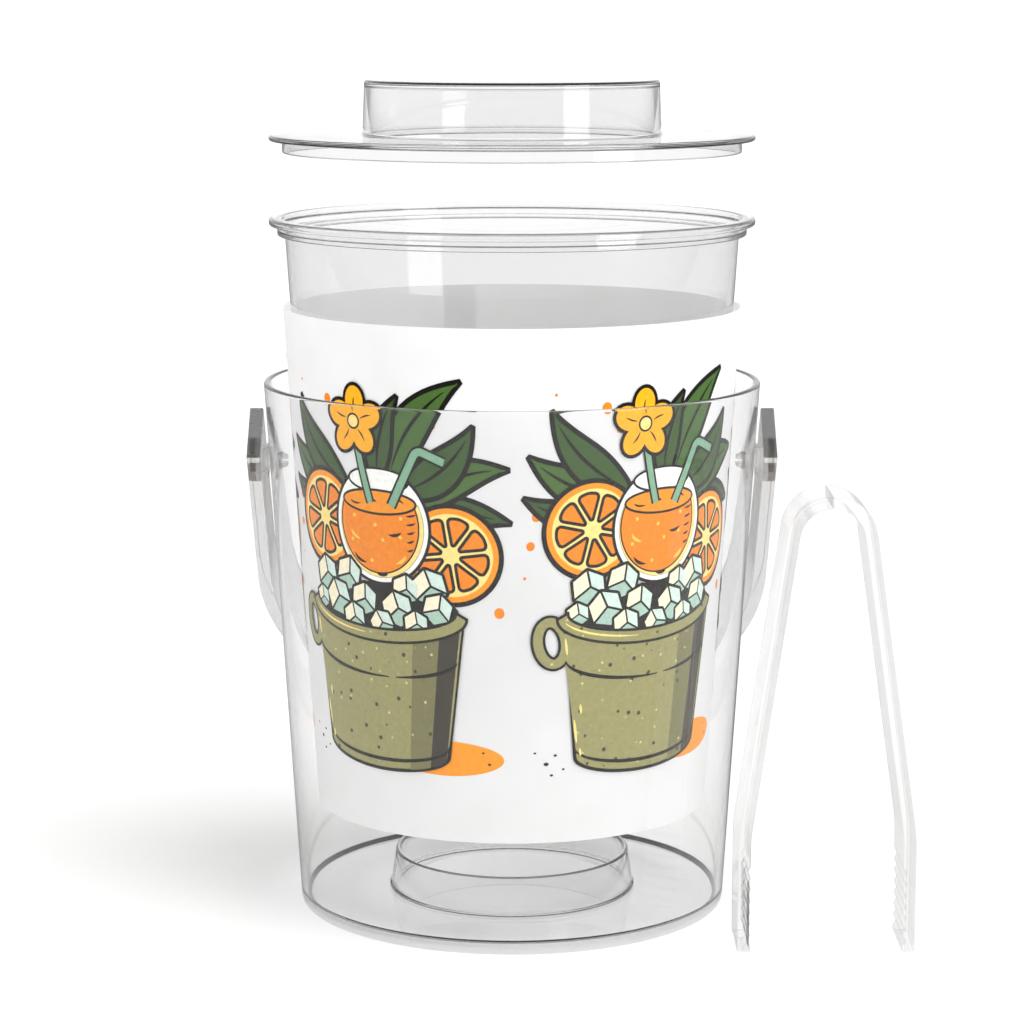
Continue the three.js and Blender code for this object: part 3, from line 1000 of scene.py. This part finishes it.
def tongs_outline():
    """The right-hand half of the tongs in X and Z, from the middle of the bend to the toothed tip."""
    centre_z = TONGS_TOP - BOW_R
    inner, tip_inner = BOW_R - TONGS_T, TIP_HALF - TONGS_T
    cos, sin = math.cos(LEG_LEAN), math.sin(LEG_LEAN)

    def line_height(radius, x):
        """Height of the leg's straight side at x, for the side that leaves the bend at this radius."""
        return centre_z + radius * sin - (x - radius * cos) * cos / sin

    def bend(radius, angles):
        return [Vector((radius * math.cos(a), centre_z + radius * math.sin(a))) for a in angles]

    steps = 28
    up = [LEG_LEAN + (math.pi / 2 - LEG_LEAN) * i / steps for i in range(steps + 1)]
    teeth = [(tip_inner, 0, 0.4)]
    for tooth in range(TEETH):
        z = TOOTH_START + tooth * TOOTH_PITCH
        teeth += [(tip_inner, z, 0.35), (tip_inner + TOOTH_DEPTH, z + TOOTH_PITCH / 2, 0.45)]
    teeth.append((tip_inner, TOOTH_START + TEETH * TOOTH_PITCH, 0.35))
    leg = rounded([
        (BOW_R * cos, centre_z + BOW_R * sin, 0),
        (TIP_HALF, line_height(BOW_R, TIP_HALF), 60),
        (TIP_HALF, 0, 0.5),
        *teeth,
        (tip_inner, line_height(inner, tip_inner), 56),
        (inner * cos, centre_z + inner * sin, 0),
    ], steps=6)
    outside = bend(BOW_R, list(reversed(up)))
    inside = bend(inner, up)
    return outside + leg[1:-1] + inside


def make_tongs():
    outline = tongs_outline()
    hair = 0.01             # half of the gap between the two halves of the strip
    for side, arm, word in ((-1, "tongs_left", "left"), (1, "tongs_right", "right")):
        bm = bmesh.new()
        faces = []
        for y in (-TONGS_W / 2, TONGS_W / 2):
            ring = [bm.verts.new((TONGS_X + side * max(p.x, hair), TONGS_Y + y, p.y)) for p in outline]
            faces.append(ring)
            bm.faces.new(ring)
        for i in range(len(outline)):
            j = (i + 1) % len(outline)
            bm.faces.new((faces[0][i], faces[0][j], faces[1][j], faces[1][i]))
        piece = new_object("clear_tongs_" + word, bm, sharp=25)
        bevel_ends(piece, 0.45, 3, 60)
        weigh_normals(piece)
        nodes = ["tongs_arm_" + word] + (["tongs_bow"] if side < 0 else [])
        piece.data.materials.clear()
        piece.data.materials.append(CLEAR_TONGS)
        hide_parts(*nodes)
        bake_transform(piece)


make_shell()
make_ring()
make_liner()
make_lid()
make_sleeve()
make_print()
make_bail()
make_pin(-1, "pivot_pin_left")
make_pin(1, "pivot_pin_right")
make_tongs()


# ---------------------------------------------------------------- floor and light

FLOOR_R = 14000
FLOOR_GAP = 0.0002      # metres below the bucket's foot
GLOW_REACH = (0.040, 0.060)     # metres from the bucket's axis, between which the glow fades
GLOW_STRENGTH = (0.36, 0.04)    # under the bucket and away from it
LOWER_WORLD = 0.3       # brightness below the horizon
BACKGROUND = 1.05       # brightness that the camera sees behind the floor


def make_floor():
    """A plain pale floor. It is lit a little under the bucket, where more light collects in clear plastic
    than the paths that are followed can carry."""
    bm = bmesh.new()
    bmesh.ops.create_circle(bm, cap_ends=True, segments=96, radius=FLOOR_R)
    floor = new_object("floor", bm)
    floor.location.z = -FLOOR_GAP
    n = Nodes("floor")
    paint = n.add("ShaderNodeBsdfPrincipled")
    paint.inputs["Base Color"].default_value = (0.8, 0.8, 0.8, 1)
    paint.inputs["Roughness"].default_value = 1
    paint.inputs["Specular IOR Level"].default_value = 0
    coordinates = n.add("ShaderNodeTexCoord")
    distance = n.add("ShaderNodeVectorMath", operation="LENGTH")
    n.link(coordinates.outputs["Object"], distance.inputs[0])
    paint.inputs["Emission Color"].default_value = (1, 1, 1, 1)
    glow = n.spread(distance.outputs["Value"], *GLOW_REACH, *GLOW_STRENGTH)
    n.link(glow, paint.inputs["Emission Strength"])
    n.link(paint.outputs[0], n.output.inputs["Surface"])
    floor.data.materials.append(n.material)
    floor.visible_glossy = False


def make_world():
    """A bright even studio above the horizon and a dim one below it. The floor hides the lower one
    from all but mirrored rays."""
    world = bpy.data.worlds.new("studio")
    world.use_nodes = True
    bpy.context.scene.world = world
    tree = world.node_tree
    tree.nodes.clear()
    output = tree.nodes.new("ShaderNodeOutputWorld")
    coordinates = tree.nodes.new("ShaderNodeTexCoord")
    split = tree.nodes.new("ShaderNodeSeparateXYZ")
    tree.links.new(coordinates.outputs["Generated"], split.inputs[0])

    def ramp(axis, stops):
        node = tree.nodes.new("ShaderNodeValToRGB")
        shift = tree.nodes.new("ShaderNodeMath")
        shift.operation = "MULTIPLY_ADD"
        shift.inputs[1].default_value = shift.inputs[2].default_value = 0.5
        tree.links.new(split.outputs[axis], shift.inputs[0])
        tree.links.new(shift.outputs[0], node.inputs[0])
        elements = node.color_ramp.elements
        while len(elements) < len(stops):
            elements.new(0.5)
        for element, (place, value) in zip(elements, stops):
            element.position = place
            element.color = (value, value, value, 1)
        return node.outputs[0]

    product = tree.nodes.new("ShaderNodeMix")
    product.data_type = "RGBA"
    tree.links.new(ramp("Z", ((0.49, 0.0), (0.505, 1.0))), product.inputs[0])
    product.inputs[6].default_value = (LOWER_WORLD, LOWER_WORLD, LOWER_WORLD, 1)
    tree.links.new(ramp("Z", ((0.5, 1.15), (0.72, 0.95), (1.0, 0.75))), product.inputs[7])
    room = tree.nodes.new("ShaderNodeBackground")
    tree.links.new(product.outputs[2], room.inputs["Color"])
    room.inputs["Strength"].default_value = 1.0
    white = tree.nodes.new("ShaderNodeBackground")
    path = tree.nodes.new("ShaderNodeLightPath")
    mix = tree.nodes.new("ShaderNodeMixShader")
    tree.links.new(path.outputs["Is Camera Ray"], mix.inputs[0])
    tree.links.new(room.outputs[0], mix.inputs[1])
    tree.links.new(white.outputs[0], mix.inputs[2])
    white.inputs["Color"].default_value = (1, 1, 1, 1)
    white.inputs["Strength"].default_value = BACKGROUND
    tree.links.new(mix.outputs[0], output.inputs["Surface"])


def make_light(name, place, target, size, watts):
    data = bpy.data.lights.new(name, "AREA")
    data.shape = "RECTANGLE"
    data.size, data.size_y = size
    data.energy = watts
    light = bpy.data.objects.new(name, data)
    light.location = place
    light.rotation_euler = (Vector(target) - Vector(place)).to_track_quat("-Z", "Y").to_euler()
    bpy.context.collection.objects.link(light)


def make_sun(name, towards, spread, strength):
    """A broad soft source far away, which the clear pieces don't mirror."""
    data = bpy.data.lights.new(name, "SUN")
    data.angle = math.radians(spread)
    data.energy = strength
    light = bpy.data.objects.new(name, data)
    light.rotation_euler = Vector(towards).to_track_quat("Z", "Y").to_euler()
    light.visible_glossy = False
    light.visible_transmission = False
    bpy.context.collection.objects.link(light)


make_floor()
make_world()
make_sun("key", (0.42, -0.27, 0.87), 38, 1.45)
make_sun("fill", (-0.7, -0.5, 0.5), 50, 0.6)
make_light("strip", (1.2, -1.0, 0.62), (0, 0, 0.25), (0.6, 1.2), 7)
bpy.context.scene.view_settings.view_transform = "Standard"
